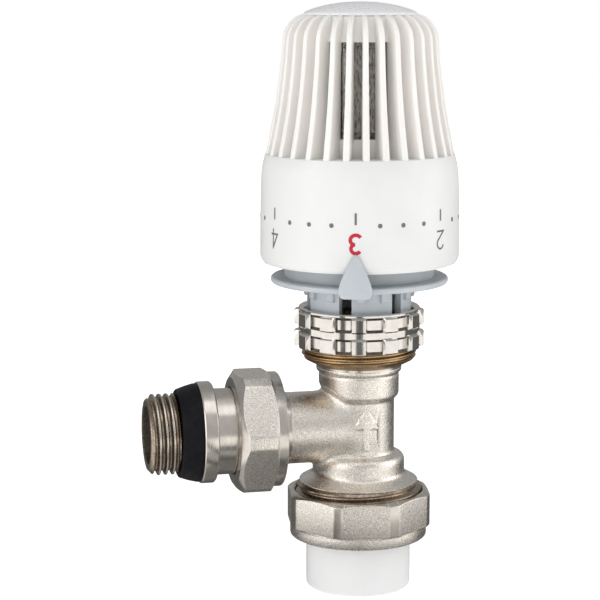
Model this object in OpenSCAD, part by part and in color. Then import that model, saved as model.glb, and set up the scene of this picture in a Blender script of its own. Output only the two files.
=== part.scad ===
// Angle-pattern thermostatic radiator valve: a ribbed sensor head on an M30 x 1.5 lock nut,
// a plated brass body, a welding-socket union below and a self-sealing radiator union at the side.
// Frame: millimetres, +Z up the spindle, origin at the mouth of the inlet socket,
// the radiator branch points along -X.

/* [Body casting] */
// Outer radius of the main barrel and of the radiator branch
barrel_r = 9.3; // [9.0:0.1:9.6]
// Radius of the round collar above the branch
upper_collar_r = 10.48; // [10.2:0.02:10.8]
// Radius of the round collar below the branch
lower_collar_r = 12.07; // [11.8:0.01:12.3]
// Height of the radiator branch's axis above the socket mouth
branch_z = 43.2; // [43.0:0.1:43.6]

/* [Threads] */
// Outside radius of the inlet union thread, G 1
inlet_thread_r = 16.62; // [16.55:0.01:16.65]
// Outside radius of the radiator union thread, G 3/4
outlet_thread_r = 13.22; // [13.15:0.01:13.24]
// Outside radius of the radiator tail's thread, G 1/2
tail_thread_r = 10.4775; // [10.4:0.0025:10.48]
// Outside radius of the head connection's thread, M30 x 1.5
head_thread_r = 15; // [14.95:0.01:15]

/* [Union nuts] */
// Width across the flats of the eight-sided inlet nut
inlet_nut_flats = 36.5; // [36:0.1:37]
// Width across the flats of the six-sided outlet nut
outlet_nut_flats = 30; // [29.6:0.1:30.4]

/* [Head] */
// Turn of the whole head about the spindle, from the front
head_turn = -16.4; // [-180:0.1:180]
// Largest radius of the handwheel's number band
band_r = 25.78; // [25.7:0.01:25.8]
// Number of ribs round the handwheel
rib_count = 30; // [20:2:32]
// Thickness of one rib
rib_t = 1.7; // [1.5:0.05:1.9]
// Number of windows in the handwheel's inner wall
window_count = 2; // [1:1:2]
// Angle that one window covers
window_angle = 58; // [40:1:60]

/* [Hidden] */
$fn = 96;

white = [0.95, 0.95, 0.94];
plastic_grey = [0.72, 0.75, 0.78];
nickel = [0.74, 0.71, 0.67];
chrome = [0.88, 0.87, 0.85];
brass = [0.76, 0.61, 0.36];
rubber = [0.05, 0.05, 0.06];
steel = [0.65, 0.65, 0.66];

thread_gap = 0.08;      // radial room between a male thread's crest and its nut's bore
slip = 0.05;            // room between pieces that slide or turn on each other

// Body levels along the spindle
body_foot_z = 20.8;
inlet_thread_top_z = 28.1;
seat_z = 37.4;
barrel_top_z = 51.3;
neck_z = 57.4;
neck_r = 11.15;
head_thread_foot_z = 62;
body_top_z = 72.4;
insert_floor_z = 66;

// Radiator union, distances from the spindle along the branch
boss_start = 22.3;
boss_end = 29.2;
outlet_nut_start = 21.76;
outlet_nut_end = 34.1;
outlet_lip = 31.75;
outlet_nut_cuts = 32.8;     // across the flats that cut its corners off
outlet_collar_r = 14.93;
outlet_hex_start = 24.06;
tail_flange_start = 39.2;
tail_flange_end = 42.9;
seal_end = 48.3;
tail_thread_end = 55.2;
tail_end = 56.2;
tail_bore_r = 7.5;
tail_neck_r = 11.17;

// Inlet union levels
socket_r = 9.65;
socket_depth = 14.5;
socket_outer_r = 13.75;
inlet_nut_foot_z = 14;
inlet_nut_hex_z = 16.9;
inlet_nut_top_z = 26.2;
inlet_flange_foot_z = 16.3;
inlet_flange_top_z = 19.2;
inlet_flange_r = 16.2;
inlet_bore_r = 7;
inlet_nut_cuts = 38.4;      // across the flats that cut its corners off
inlet_nut_turn = 15.2;
inlet_collar_r = 18;

// Spindle, disc and insert
spindle_r = 1.6;
spindle_foot_z = 40.2;
spindle_tip_z = 76.5;
washer_z = 39.25;
disc_z = 40.75;
disc_top_z = 42.6;
spring_seat_z = 61;
insert_foot_z = 52;
insert_r = 8.45;

// Head levels
nut_foot_z = 64.65;
nut_top_z = 74.9;
nut_band_r = 15.84;
nut_lug_r = 16.92;
nut_lip_z = 73.5;
nut_lug_count = 12;
nut_rows = [[nut_foot_z, 68.6], [70.25, 74.1]];     // foot and top of each row of lugs
nut_turn = 15.7;
finger_r = 13.6;
finger_count = 6;
finger_slot = 3.3;
finger_turn = -102.9;    // where the first slot is, from the pointer's own direction
plate_z = 81.5;
plate_top_z = 83;
drum_r = 19.4;
drive_tube_r = 16;
indicator_r = 22.97;
skirt_z = 86.6;
shelf_z = 114.65;
shelf_r = 24.35;
web_z = 110.5;
web_top_z = 112.5;
window_foot_z = 119.3;
window_top_z = 143.2;
crown_z = 147.4;
crown_top_z = 150.2;
crown_r = 14.3;
dome_z = 153.1;

// --- outline helpers -------------------------------------------------------

function unit(v) = v / norm(v);
function xy(p) = [p[0], p[1]];
// The arc that rounds the corner at p between its neighbours a and b
function corner(a, p, b, r, n) =
    let (
        u = unit(a - p),
        v = unit(b - p),
        half = acos(u * v) / 2,
        centre = p + unit(u + v) * r / sin(half),
        first = p + u * r / tan(half) - centre,
        last = p + v * r / tan(half) - centre,
        start = atan2(first[1], first[0]),
        sweep = (atan2(last[1], last[0]) - start + 540) % 360 - 180
    )
    [for (k = [0:n]) centre + r * [cos(start + sweep * k / n), sin(start + sweep * k / n)]];
// An outline of [x, y] points, and [x, y, r] points whose corner is rounded to radius r
function rounded(points, n = 5) =
    [for (i = [0:len(points) - 1])
        let (
            p = points[i],
            a = points[(i + len(points) - 1) % len(points)],
            b = points[(i + 1) % len(points)]
        )
        each (len(p) < 3 ? [p] : corner(xy(a), xy(p), xy(b), p[2], n))];

module lathe(points) rotate_extrude() polygon(rounded(points));
// A lathed shape about the branch's axis: outline x is the radius, y the distance from the spindle
module branch_lathe(points) along_branch() lathe(points);
module along_branch() translate([0, 0, branch_z]) rotate([0, -90, 0]) children();
module in_head() rotate(head_turn) children();
module ring(outer, inner, z0, z1)
    translate([0, 0, z0]) difference() {
        cylinder(r = outer, h = z1 - z0);
        translate([0, 0, -1]) cylinder(r = inner, h = z1 - z0 + 2);
    }
module oring(centre_r, cord_r, z)
    translate([0, 0, z]) rotate_extrude() translate([centre_r, 0]) circle(cord_r, $fn = 32);

// --- a helical spring, as one swept tube -----------------------------------

spring_sides = 8;
spring_steps = 14;      // rings in one turn
function spring_ring(r, wire, z, turn_angle) =
    [for (k = [0:spring_sides - 1])
        let (a = 360 * k / spring_sides, reach = r + wire * cos(a))
        [reach * cos(turn_angle), reach * sin(turn_angle), z + wire * sin(a)]];
module spring(r, wire, z0, z1, turns) {
    rings = turns * spring_steps;
    rise = (z1 - z0 - 2 * wire) / rings;
    points = [for (i = [0:rings])
        each spring_ring(r, wire, z0 + wire + rise * i, 360 * i / spring_steps)];
    sides = [for (i = [0:rings - 1], k = [0:spring_sides - 1])
        let (a = i * spring_sides + k, b = i * spring_sides + (k + 1) % spring_sides)
        each [[a, a + spring_sides, b], [b, a + spring_sides, b + spring_sides]]];
    first = [for (k = [1:spring_sides - 2]) [0, k, k + 1]];
    base = rings * spring_sides;
    last = [for (k = [1:spring_sides - 2]) [base, base + k + 1, base + k]];
    polyhedron(points, concat(sides, first, last));
}

// --- valve body and its insert ---------------------------------------------

barrel_outline = [
    [0, body_foot_z], [inlet_thread_r - 0.9, body_foot_z], [inlet_thread_r, body_foot_z + 0.9],
    [inlet_thread_r, inlet_thread_top_z], [inlet_thread_r - 0.55, inlet_thread_top_z + 0.5],
    [lower_collar_r, 30.3, 1.4], [lower_collar_r, 36, 2.5], [barrel_r, 36.9, 0.8],
    [barrel_r, barrel_top_z - 0.5, 0.4], [upper_collar_r, barrel_top_z, 0.7],
    [upper_collar_r, neck_z, 0.5], [neck_r, neck_z + 0.8, 0.4], [neck_r, 59.4, 0.5],
    [head_thread_r, head_thread_foot_z], [head_thread_r, body_top_z - 0.6],
    [head_thread_r - 0.6, body_top_z], [0, body_top_z],
];
branch_outline = [
    [0, 0], [barrel_r + 0.04, 0], [barrel_r + 0.04, boss_start - 0.6, 0.5],
    [outlet_thread_r - 1, boss_start], [outlet_thread_r, boss_start + 0.7],
    [outlet_thread_r, boss_end - 0.8], [outlet_thread_r - 0.8, boss_end], [0, boss_end],
];
chamber_r = 7.7;
seat_bore_r = 5.2;
branch_bore_r = 5.7;
nose_bore_r = 9.95;
nose_start = 25.8;
nose_groove = [26.6, 28.2];       // where the O-ring groove in the nose starts and ends
insert_recess_r = 10.5;

module waterway() {
    translate([0, 0, body_foot_z - 1]) cylinder(r = 8, h = seat_z - 3 - body_foot_z + 1);
    translate([0, 0, seat_z - 4]) cylinder(r = seat_bore_r, h = 5);
    translate([0, 0, seat_z]) cylinder(r = chamber_r, h = insert_foot_z + 1 - seat_z);
    translate([0, 0, insert_foot_z]) cylinder(r = insert_r + slip, h = body_top_z - insert_foot_z);
    translate([0, 0, insert_floor_z])
        cylinder(r = insert_recess_r, h = body_top_z - insert_floor_z + 1);
    along_branch() cylinder(r = branch_bore_r, h = boss_end + 1);
    along_branch() translate([0, 0, nose_start - 0.2])
        cylinder(r = nose_bore_r, h = boss_end - nose_start + 1);
}

module valve_body() color(nickel) difference() {
    union() {
        lathe(barrel_outline);
        branch_lathe(branch_outline);
    }
    waterway();
}

insert_flats = 17;
gland_r = 4.2;
gland_foot_z = 67.6;
gland_flats = 8;
insert_stem_top_z = 71.2;

module bonnet() color(brass) difference() {
    union() {
        difference() {
            translate([0, 0, insert_foot_z + 0.2])
                cylinder(r = insert_r, h = insert_floor_z - insert_foot_z - 0.2);
            ring(insert_r + 1, insert_r - 1.2, 54.3, 55.7);
        }
        translate([0, 0, insert_floor_z + slip])
            cylinder(r = insert_flats / 2 / cos(30), h = 3.4, $fn = 6);
        translate([0, 0, insert_floor_z - 1]) cylinder(r = 6, h = insert_stem_top_z - insert_floor_z + 1);
    }
    translate([0, 0, insert_foot_z - 1]) cylinder(r = 5.2, h = spring_seat_z - insert_foot_z + 1);
    translate([0, 0, spring_seat_z - 1]) cylinder(r = spindle_r + slip, h = 20);
    translate([0, 0, 65.5]) cylinder(r = 3.4, h = 20);
    translate([0, 0, gland_foot_z]) cylinder(r = gland_r + slip, h = 20);
}
module bonnet_oring() color(rubber) oring(insert_r - 0.6, 0.55, 55);
module gland_nut() color(brass) difference() {
    union() {
        translate([0, 0, gland_foot_z + slip]) cylinder(r = gland_r, h = insert_stem_top_z - gland_foot_z);
        translate([0, 0, insert_stem_top_z + slip]) cylinder(r = gland_flats / 2 / cos(30), h = 1.4, $fn = 6);
    }
    translate([0, 0, gland_foot_z - 1]) cylinder(r = spindle_r + slip, h = 10);
}
module gland_oring() color(rubber) oring(2.5, 0.8, 66.5);

// --- spindle group ---------------------------------------------------------

module spindle() color(steel) lathe([
    [0, spindle_foot_z], [spindle_r, spindle_foot_z], [spindle_r, spindle_tip_z, 0.5], [0, spindle_tip_z],
]);
module valve_disc() color(brass) difference() {
    lathe([
        [0, disc_z], [5.9, disc_z], [5.9, disc_top_z, 0.3], [2.8, disc_top_z], [2.8, disc_top_z + 1.6, 0.3],
        [0, disc_top_z + 1.6],
    ]);
    translate([0, 0, disc_z - 1]) cylinder(r = spindle_r, h = 10);
}
module disc_washer() color(rubber) ring(5.7, spindle_r, washer_z, disc_z);
module disc_screw() color(brass) lathe([
    [0, washer_z - 1], [2.6, washer_z - 1, 0.3], [2.6, washer_z], [spindle_r, washer_z],
    [spindle_r, spindle_foot_z], [0, spindle_foot_z],
]);
module spindle_spring() color(steel) spring(3.9, 0.45, disc_top_z, spring_seat_z, 7);

// --- inlet union -----------------------------------------------------------

module inlet_tail() color(white) lathe([
    [socket_r, 0], [socket_outer_r, 0, 1.5], [socket_outer_r, inlet_flange_foot_z],
    [inlet_flange_r, inlet_flange_foot_z, 0.3], [inlet_flange_r, inlet_flange_top_z, 0.3],
    [inlet_bore_r, inlet_flange_top_z], [inlet_bore_r, socket_depth], [socket_r, socket_depth],
]);
module inlet_gasket() color(rubber) ring(15.6, 8.2, inlet_flange_top_z, body_foot_z - slip);

// A prism with its corners cut off flat
module cut_prism(sides, flats, across_cuts, h) intersection() {
    cylinder(r = flats / 2 / cos(180 / sides), h = h, $fn = sides);
    rotate(180 / sides) cylinder(r = across_cuts / 2 / cos(180 / sides), h = h, $fn = sides);
}

module inlet_nut() color(nickel) difference() {
    union() {
        translate([0, 0, inlet_nut_hex_z]) rotate(inlet_nut_turn)
            cut_prism(8, inlet_nut_flats, inlet_nut_cuts, inlet_nut_top_z - inlet_nut_hex_z);
        lathe([
            [0, inlet_nut_foot_z], [inlet_collar_r, inlet_nut_foot_z, 0.5],
            [inlet_collar_r, inlet_nut_hex_z + 0.1], [0, inlet_nut_hex_z + 0.1],
        ]);
    }
    translate([0, 0, inlet_nut_foot_z - 1]) cylinder(r = socket_outer_r + 0.2, h = 30);
    translate([0, 0, inlet_flange_foot_z - slip]) cylinder(r = inlet_thread_r + thread_gap, h = 30);
}

// --- radiator union --------------------------------------------------------

module outlet_nut() color(nickel) difference() {
    intersection() {
        union() {
            along_branch() rotate(30) translate([0, 0, outlet_hex_start])
                cut_prism(6, outlet_nut_flats, outlet_nut_cuts, outlet_nut_end - outlet_hex_start);
            branch_lathe([
                [0, outlet_nut_start], [outlet_collar_r, outlet_nut_start, 0.4],
                [outlet_collar_r, outlet_hex_start + 0.1], [0, outlet_hex_start + 0.1],
            ]);
        }
        branch_lathe([
            [0, outlet_nut_start - 1], [18, outlet_nut_start - 1], [18, outlet_nut_end - 3.6],
            [14.6, outlet_nut_end], [0, outlet_nut_end],
        ]);
    }
    along_branch() translate([0, 0, outlet_nut_start - 1])
        cylinder(r = outlet_thread_r + thread_gap, h = outlet_lip - outlet_nut_start + 1);
    along_branch() cylinder(r = tail_neck_r + 0.25, h = 50);
}
module outlet_tail() color(nickel) branch_lathe([
    [tail_bore_r, nose_start], [9.6, nose_start, 0.5], [9.6, nose_groove[0]], [8.55, nose_groove[0]],
    [8.55, nose_groove[1]], [9.6, nose_groove[1]], [9.6, boss_end + 0.05], [12.9, boss_end + 0.05],
    [12.9, outlet_lip - slip, 0.3], [tail_neck_r, outlet_lip - slip], [tail_neck_r, tail_flange_start],
    [13.15, tail_flange_start, 0.3], [13.15, tail_flange_end, 0.3],
    [10, tail_flange_end], [10, seal_end], [tail_thread_r, seal_end], [tail_thread_r, tail_thread_end],
    [9.5, tail_end], [tail_bore_r + 0.5, tail_end], [tail_bore_r, tail_end - 0.5],
]);
module outlet_oring() color(rubber) along_branch()
    oring(9.2, 0.65, (nose_groove[0] + nose_groove[1]) / 2);
module self_seal_ring() color(rubber) branch_lathe([
    [10, tail_flange_end], [12.7, tail_flange_end, 0.3], [12.45, tail_flange_end + 1.2, 1],
    [11.3, seal_end, 0.6], [10, seal_end],
]);

// --- lock nut, base and indicator ------------------------------------------

lug_outer_half = 7.0;   // half angle of a lug at its top
lug_root_half = 8.4;    // half angle of a lug at its foot
module lug_row(z0, z1) translate([0, 0, z0]) linear_extrude(z1 - z0)
    for (i = [0:nut_lug_count - 1]) rotate(nut_turn + 360 * i / nut_lug_count) polygon([
        (nut_band_r - 0.4) * [cos(lug_root_half), -sin(lug_root_half)],
        nut_lug_r * [cos(lug_outer_half), -sin(lug_outer_half)],
        nut_lug_r * [cos(lug_outer_half), sin(lug_outer_half)],
        (nut_band_r - 0.4) * [cos(lug_root_half), sin(lug_root_half)],
    ]);
module lock_nut() color(chrome) difference() {
    union() {
        translate([0, 0, nut_foot_z]) cylinder(r = nut_band_r, h = nut_top_z - nut_foot_z);
        for (row = nut_rows) lug_row(row[0], row[1]);
    }
    translate([0, 0, nut_foot_z - 1]) cylinder(r = head_thread_r + slip, h = nut_lip_z - nut_foot_z + 1);
    translate([0, 0, nut_foot_z]) cylinder(r = 14.3, h = 20);
    translate([0, 0, nut_top_z - 0.7]) cylinder(r1 = 14.3, r2 = 15.2, h = 0.71);
}

finger_foot_z = body_top_z + slip;
pad_w = 2.1;
pad_foot_z = 77.6;
pad_spread = 13;        // angle from a finger's middle to each of its two pads
base_bore_r = 11.6;
base_outline = [
    [base_bore_r, finger_foot_z], [14.75, finger_foot_z], [14.75, nut_lip_z - slip],
    [finger_r, nut_lip_z - slip],
    [finger_r, plate_z], [drum_r, plate_z], [drum_r, 95], [drum_r - 1, 95], [drum_r - 1, plate_top_z],
    [drive_tube_r, plate_top_z], [drive_tube_r, 104], [drive_tube_r - 1.4, 104],
    [drive_tube_r - 1.4, plate_top_z], [base_bore_r, plate_top_z],
];
module finger_slots() for (i = [0:finger_count - 1])
    rotate(finger_turn + 360 * i / finger_count)
        translate([8, -finger_slot / 2, finger_foot_z - 1])
            cube([10, finger_slot, plate_z - finger_foot_z + 0.5]);
module finger_pads() for (i = [0:finger_count - 1], side = [-1, 1])
    rotate(finger_turn + 360 * (i + 0.5) / finger_count + pad_spread * side)
        translate([finger_r - 0.6, -pad_w / 2, pad_foot_z])
            cube([1.4, pad_w, plate_z + 0.5 - pad_foot_z]);
module head_base() color(plastic_grey) in_head() union() {
    difference() {
        lathe(base_outline);
        finger_slots();
    }
    finger_pads();
}

pointer_inner_r = band_r + 0.32;
module pointer() intersection() {
    rotate([0, 0, -90]) rotate_extrude() polygon([
        [22, 80.8], [26.6, 80.8], [27.4, 81.8], [27.3, 87], [26.75, 91.6], [pointer_inner_r, 91.6],
        [pointer_inner_r, 84], [24.5, 82.95], [22, 82.95],
    ]);
    translate([0, -15, 0]) rotate([90, 0, 0]) linear_extrude(15) polygon(rounded([
        [-4.2, 80.8, 0.6], [4.2, 80.8, 0.6], [3.9, 83.5], [3, 86.9, 3], [1.5, 89.5], [0, 92, 0.8],
        [-1.5, 89.5], [-3, 86.9, 3], [-3.9, 83.5],
    ], 4));
}
module indicator_ring() color(plastic_grey) in_head() union() {
    lathe([
        [drum_r + slip, plate_z], [indicator_r, plate_z, 0.3], [indicator_r, 82.95, 0.4], [drum_r + slip, 82.95],
    ]);
    pointer();
}

// --- handwheel and cap -----------------------------------------------------

wall_foot_r = 17.2;     // inner wall, where it leaves the shelf
wall_top_r = 16.5;      // inner wall, at the windows' top
// One half of the hollow shell: number band, shelf, inner wall, crown, and the threaded sleeve inside
shell_outline = [
    [23.5, skirt_z], [24.9, skirt_z, 0.4], [band_r, 88.4, 1.6], [band_r - 0.14, 102.7, 30], [25.4, 109.1, 20],
    [shelf_r + 0.1, shelf_z, 0.3], [wall_foot_r, shelf_z], [wall_top_r, window_top_z], [16, 146.2, 2],
    [crown_r, crown_top_z - 0.6, 0.5], [13.4, crown_top_z - 0.6], [13.4, crown_z - 0.6], [14, 145],
    [wall_top_r - 1.4, window_top_z], [wall_foot_r - 1.4, web_top_z + 1], [wall_foot_r - 1.4, web_top_z],
    [12.7, web_top_z], [12.7, web_z], [drive_tube_r + slip, web_z], [drive_tube_r + slip, 90.5],
    [18.1, 90.5], [18.1, web_z], [23.4, web_z - 2, 2],
];
rib_outline = [
    [wall_foot_r - 1, shelf_z - 1], [shelf_r, shelf_z - 1], [shelf_r, shelf_z], [22.98, 120.6, 40],
    [21.5, 128.8, 60], [20.33, 138.2, 30], [19.74, 144.7, 5], [18.3, 147.7, 4], [crown_r + slip, crown_top_z],
    [crown_r + slip, crown_top_z - 0.7], [14.6, 146], [wall_top_r - 1, window_top_z],
];
module rib() rotate([90, 0, 0]) translate([0, 0, -rib_t / 2])
    linear_extrude(rib_t) polygon(rounded(rib_outline, 4));
module window_cut() rotate(-window_angle / 2) translate([0, 0, window_foot_z])
    rotate_extrude(angle = window_angle) translate([13, 0]) square([6, window_top_z - window_foot_z]);
module handwheel() color(white) in_head() rotate(-90) union() {
    difference() {
        lathe(shell_outline);
        for (i = [0:window_count - 1]) rotate(360 * i / window_count) window_cut();
    }
    for (i = [0:rib_count - 1]) rotate(360 * (i + 0.5) / rib_count) rib();
}
module top_cap() color(white) in_head() lathe([
    [0, dome_z], [0, 151.6], [12.2, 149.2], [12.2, 147], [13.35, 147], [13.35, crown_top_z - 0.6],
    [crown_r, crown_top_z - 0.6], [crown_r, crown_top_z, 0.2], [9.6, 151.9, 20], [5, 152.8, 30],
]);

// --- sensor and its drive --------------------------------------------------

capsule_r = 12;
capsule_foot_z = 116;
capsule_top_z = 146;
pin_flange_z = 95;
module sensor_capsule() color(steel) in_head() lathe([
    [0, capsule_foot_z], [capsule_r - 0.6, capsule_foot_z, 0.5], [capsule_r, capsule_foot_z + 2],
    [capsule_r, capsule_top_z - 0.8, 0.8], [capsule_r - 2.5, capsule_top_z], [3, capsule_top_z - 0.8],
    [0, capsule_top_z - 0.8],
]);
module sensor_piston() color(steel) in_head() translate([0, 0, pin_flange_z + 2])
    cylinder(r = 2.6, h = capsule_foot_z - pin_flange_z - 2);
module sensor_carrier() color(plastic_grey) in_head() lathe([
    [3.2, 112.6], [3.2, capsule_foot_z], [capsule_r, capsule_foot_z], [capsule_r, 118.2],
    [13.2, 118.2], [13.2, 114.6], [15.2, 114.6], [15.2, 112.6],
]);
module overtravel_spring() color(steel) in_head() spring(7.4, 0.8, pin_flange_z + 2, 112.6, 5);
module transmission_pin() color(white) in_head() lathe([
    [0, spindle_tip_z + slip], [3.2, spindle_tip_z + slip, 0.4], [3.2, pin_flange_z], [9.4, pin_flange_z, 0.5],
    [9.4, pin_flange_z + 2], [0, pin_flange_z + 2],
]);

valve_body();
bonnet();
bonnet_oring();
gland_nut();
gland_oring();
spindle();
valve_disc();
disc_washer();
disc_screw();
spindle_spring();
inlet_nut();
inlet_gasket();
inlet_tail();
outlet_nut();
outlet_tail();
outlet_oring();
self_seal_ring();
lock_nut();
head_base();
indicator_ring();
handwheel();
top_cap();
sensor_capsule();
sensor_piston();
sensor_carrier();
overtravel_spring();
transmission_pin();
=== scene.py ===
"""Looks of an angle thermostatic radiator valve, built round its CAD frame.

Lengths inside this file are millimetres in the CAD frame until a mesh is made, then metres.
"""

import math

import bmesh
import bpy
import numpy as np
import openvdb
from mathutils import Matrix, Vector


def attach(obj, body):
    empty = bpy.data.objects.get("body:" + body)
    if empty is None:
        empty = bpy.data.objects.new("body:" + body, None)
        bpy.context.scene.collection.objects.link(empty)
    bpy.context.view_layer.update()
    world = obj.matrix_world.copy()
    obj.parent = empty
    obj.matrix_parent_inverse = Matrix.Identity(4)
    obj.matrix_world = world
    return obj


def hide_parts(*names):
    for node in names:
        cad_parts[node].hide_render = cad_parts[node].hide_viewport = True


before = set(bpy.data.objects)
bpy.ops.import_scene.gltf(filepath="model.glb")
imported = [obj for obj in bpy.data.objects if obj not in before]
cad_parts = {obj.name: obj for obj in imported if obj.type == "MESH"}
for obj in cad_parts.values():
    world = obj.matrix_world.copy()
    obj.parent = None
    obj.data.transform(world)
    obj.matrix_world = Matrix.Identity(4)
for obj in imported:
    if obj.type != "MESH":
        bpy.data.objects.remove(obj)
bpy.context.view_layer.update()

MM = 0.001
FINE = 0.02  # a hair's thickness, for faces that would otherwise lie in each other


# --- measures that several pieces share -------------------------------------------------------

BRANCH_Z = 43.2
HEAD_ANGLE = 253.6  # direction of the pointer, seen from above, from +X

THREAD_G1_R = 16.62
THREAD_G34_R = 13.22
THREAD_G12_R = 10.4775
THREAD_M30_R = 15.0
PITCH_G1 = 2.309
PITCH_G34 = 1.814
PITCH_M30 = 1.5

UPRIGHT = Matrix.Identity(4)
BRANCH = Matrix.Translation((0, 0, BRANCH_Z)) @ Matrix.Rotation(math.radians(-90), 4, "Y")
HEAD = Matrix.Rotation(math.radians(HEAD_ANGLE), 4, "Z")


# --- outlines ---------------------------------------------------------------------------------


def corner(before, point, after, radius, steps):
    """The arc that rounds the corner at point between its two neighbours."""
    a = (Vector(before) - Vector(point)).normalized()
    b = (Vector(after) - Vector(point)).normalized()
    half = a.angle(b) / 2
    centre = Vector(point) + (a + b).normalized() * radius / math.sin(half)
    first = Vector(point) + a * radius / math.tan(half) - centre
    last = Vector(point) + b * radius / math.tan(half) - centre
    sweep = first.angle_signed(last)
    turns = [Matrix.Rotation(-sweep * k / steps, 2) for k in range(steps + 1)]
    return [tuple(centre + turn @ first) for turn in turns]


def rounded(points, steps=5):
    """A closed outline; a point with a third number has its corner rounded to that radius."""
    outline = []
    for i, point in enumerate(points):
        if len(point) == 2:
            outline.append(point)
            continue
        before = points[i - 1][:2]
        after = points[(i + 1) % len(points)][:2]
        outline += corner(before, point[:2], after, point[2], steps)
    return outline


def eased(share):
    """0 to 1 with a soft start and end."""
    share = np.clip(share, 0, 1)
    return share * share * (3 - 2 * share)


def smooth_line(points, steps):
    """Catmull-Rom points through a list of points of any dimension."""
    p = np.array([points[0], *points, points[-1]], float)
    line = []
    for i in range(1, len(p) - 2):
        for k in range(steps):
            t = k / steps
            line.append(0.5 * (2 * p[i] + (p[i + 1] - p[i - 1]) * t
                        + (2 * p[i - 1] - 5 * p[i] + 4 * p[i + 1] - p[i + 2]) * t * t
                        + (3 * p[i] - p[i - 1] - 3 * p[i + 1] + p[i + 2]) * t ** 3))
    line.append(p[-2])
    return np.array(line)


# --- meshes -----------------------------------------------------------------------------------


def mesh_object(name, vertices, faces, place=UPRIGHT, sharp=32):
    """A closed mesh in metres, with merged points, outward faces and sharp edges kept."""
    mesh = bpy.data.meshes.new(name)
    mesh.from_pydata([tuple(v) for v in vertices], [], faces)
    mesh.transform(place)
    mesh.transform(Matrix.Scale(MM, 4))
    shape = bmesh.new()
    shape.from_mesh(mesh)
    bmesh.ops.remove_doubles(shape, verts=shape.verts, dist=2e-7)
    bmesh.ops.dissolve_degenerate(shape, edges=shape.edges, dist=1e-8)
    bmesh.ops.recalc_face_normals(shape, faces=shape.faces)
    shape.to_mesh(mesh)
    shape.free()
    for face in mesh.polygons:
        face.use_smooth = True
    mesh.set_sharp_from_angle(angle=math.radians(sharp))
    piece = bpy.data.objects.new(name, mesh)
    bpy.context.scene.collection.objects.link(piece)
    return piece


def skin_faces(columns, rows, start=0, loop=True):
    """Quads between neighbouring columns of points; loop joins each column's end to its start."""
    faces = []
    for c in range(columns - 1):
        for r in range(rows if loop else rows - 1):
            a = start + c * rows + r
            b = start + c * rows + (r + 1) % rows
            faces.append((a, b, b + rows, a + rows))
    return faces


def spun(name, profile, place=UPRIGHT, steps=144, angles=None, sharp=32):
    """A turned piece. profile is a closed (radius, height) outline, or a function of the angle."""
    angles = np.linspace(0, 360, steps + 1) if angles is None else np.array(angles, float)
    points = []
    rows = 0
    for angle in angles:
        outline = profile(angle) if callable(profile) else profile
        rows = len(outline)
        a = math.radians(angle)
        points += [(r * math.cos(a), r * math.sin(a), z) for r, z in outline]
    faces = skin_faces(len(angles), rows)
    if abs(angles[-1] - angles[0] - 360) > 0.001:
        faces.append(tuple(range(rows)))
        faces.append(tuple(range((len(angles) - 1) * rows, len(angles) * rows)))
    return mesh_object(name, points, faces, place, sharp)


def joined(name, pieces):
    """One object from several, with all their materials."""
    with bpy.context.temp_override(active_object=pieces[0], selected_editable_objects=pieces):
        bpy.ops.object.join()
    pieces[0].name = name
    pieces[0].data.name = name
    return pieces[0]


THREAD_SHAPE = [(0.05, 0.0), (0.12, 0.03), (0.25, 0.5), (0.38, 0.95), (0.45, 1.0),
                (0.55, 1.0), (0.62, 0.95), (0.75, 0.5), (0.88, 0.03), (0.95, 0.0)]


def thread(crest, pitch, start, end, depth=0.62, lead=0.9):
    """A function of the angle that gives a right-hand thread's outline from start to end."""
    root = crest - depth * pitch
    teeth = math.ceil((end - start) / pitch) + 1

    def outline(angle):
        points = []
        for tooth in range(-1, teeth):
            for share, rise in THREAD_SHAPE:
                z = start + (tooth + angle / 360 + share) * pitch
                z = min(max(z, start), end)
                limit = root + lead * min(z - start, end - z)
                points.append((min(root + rise * (crest - root), limit), z))
        return points

    return root, outline


# --- materials --------------------------------------------------------------------------------


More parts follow.
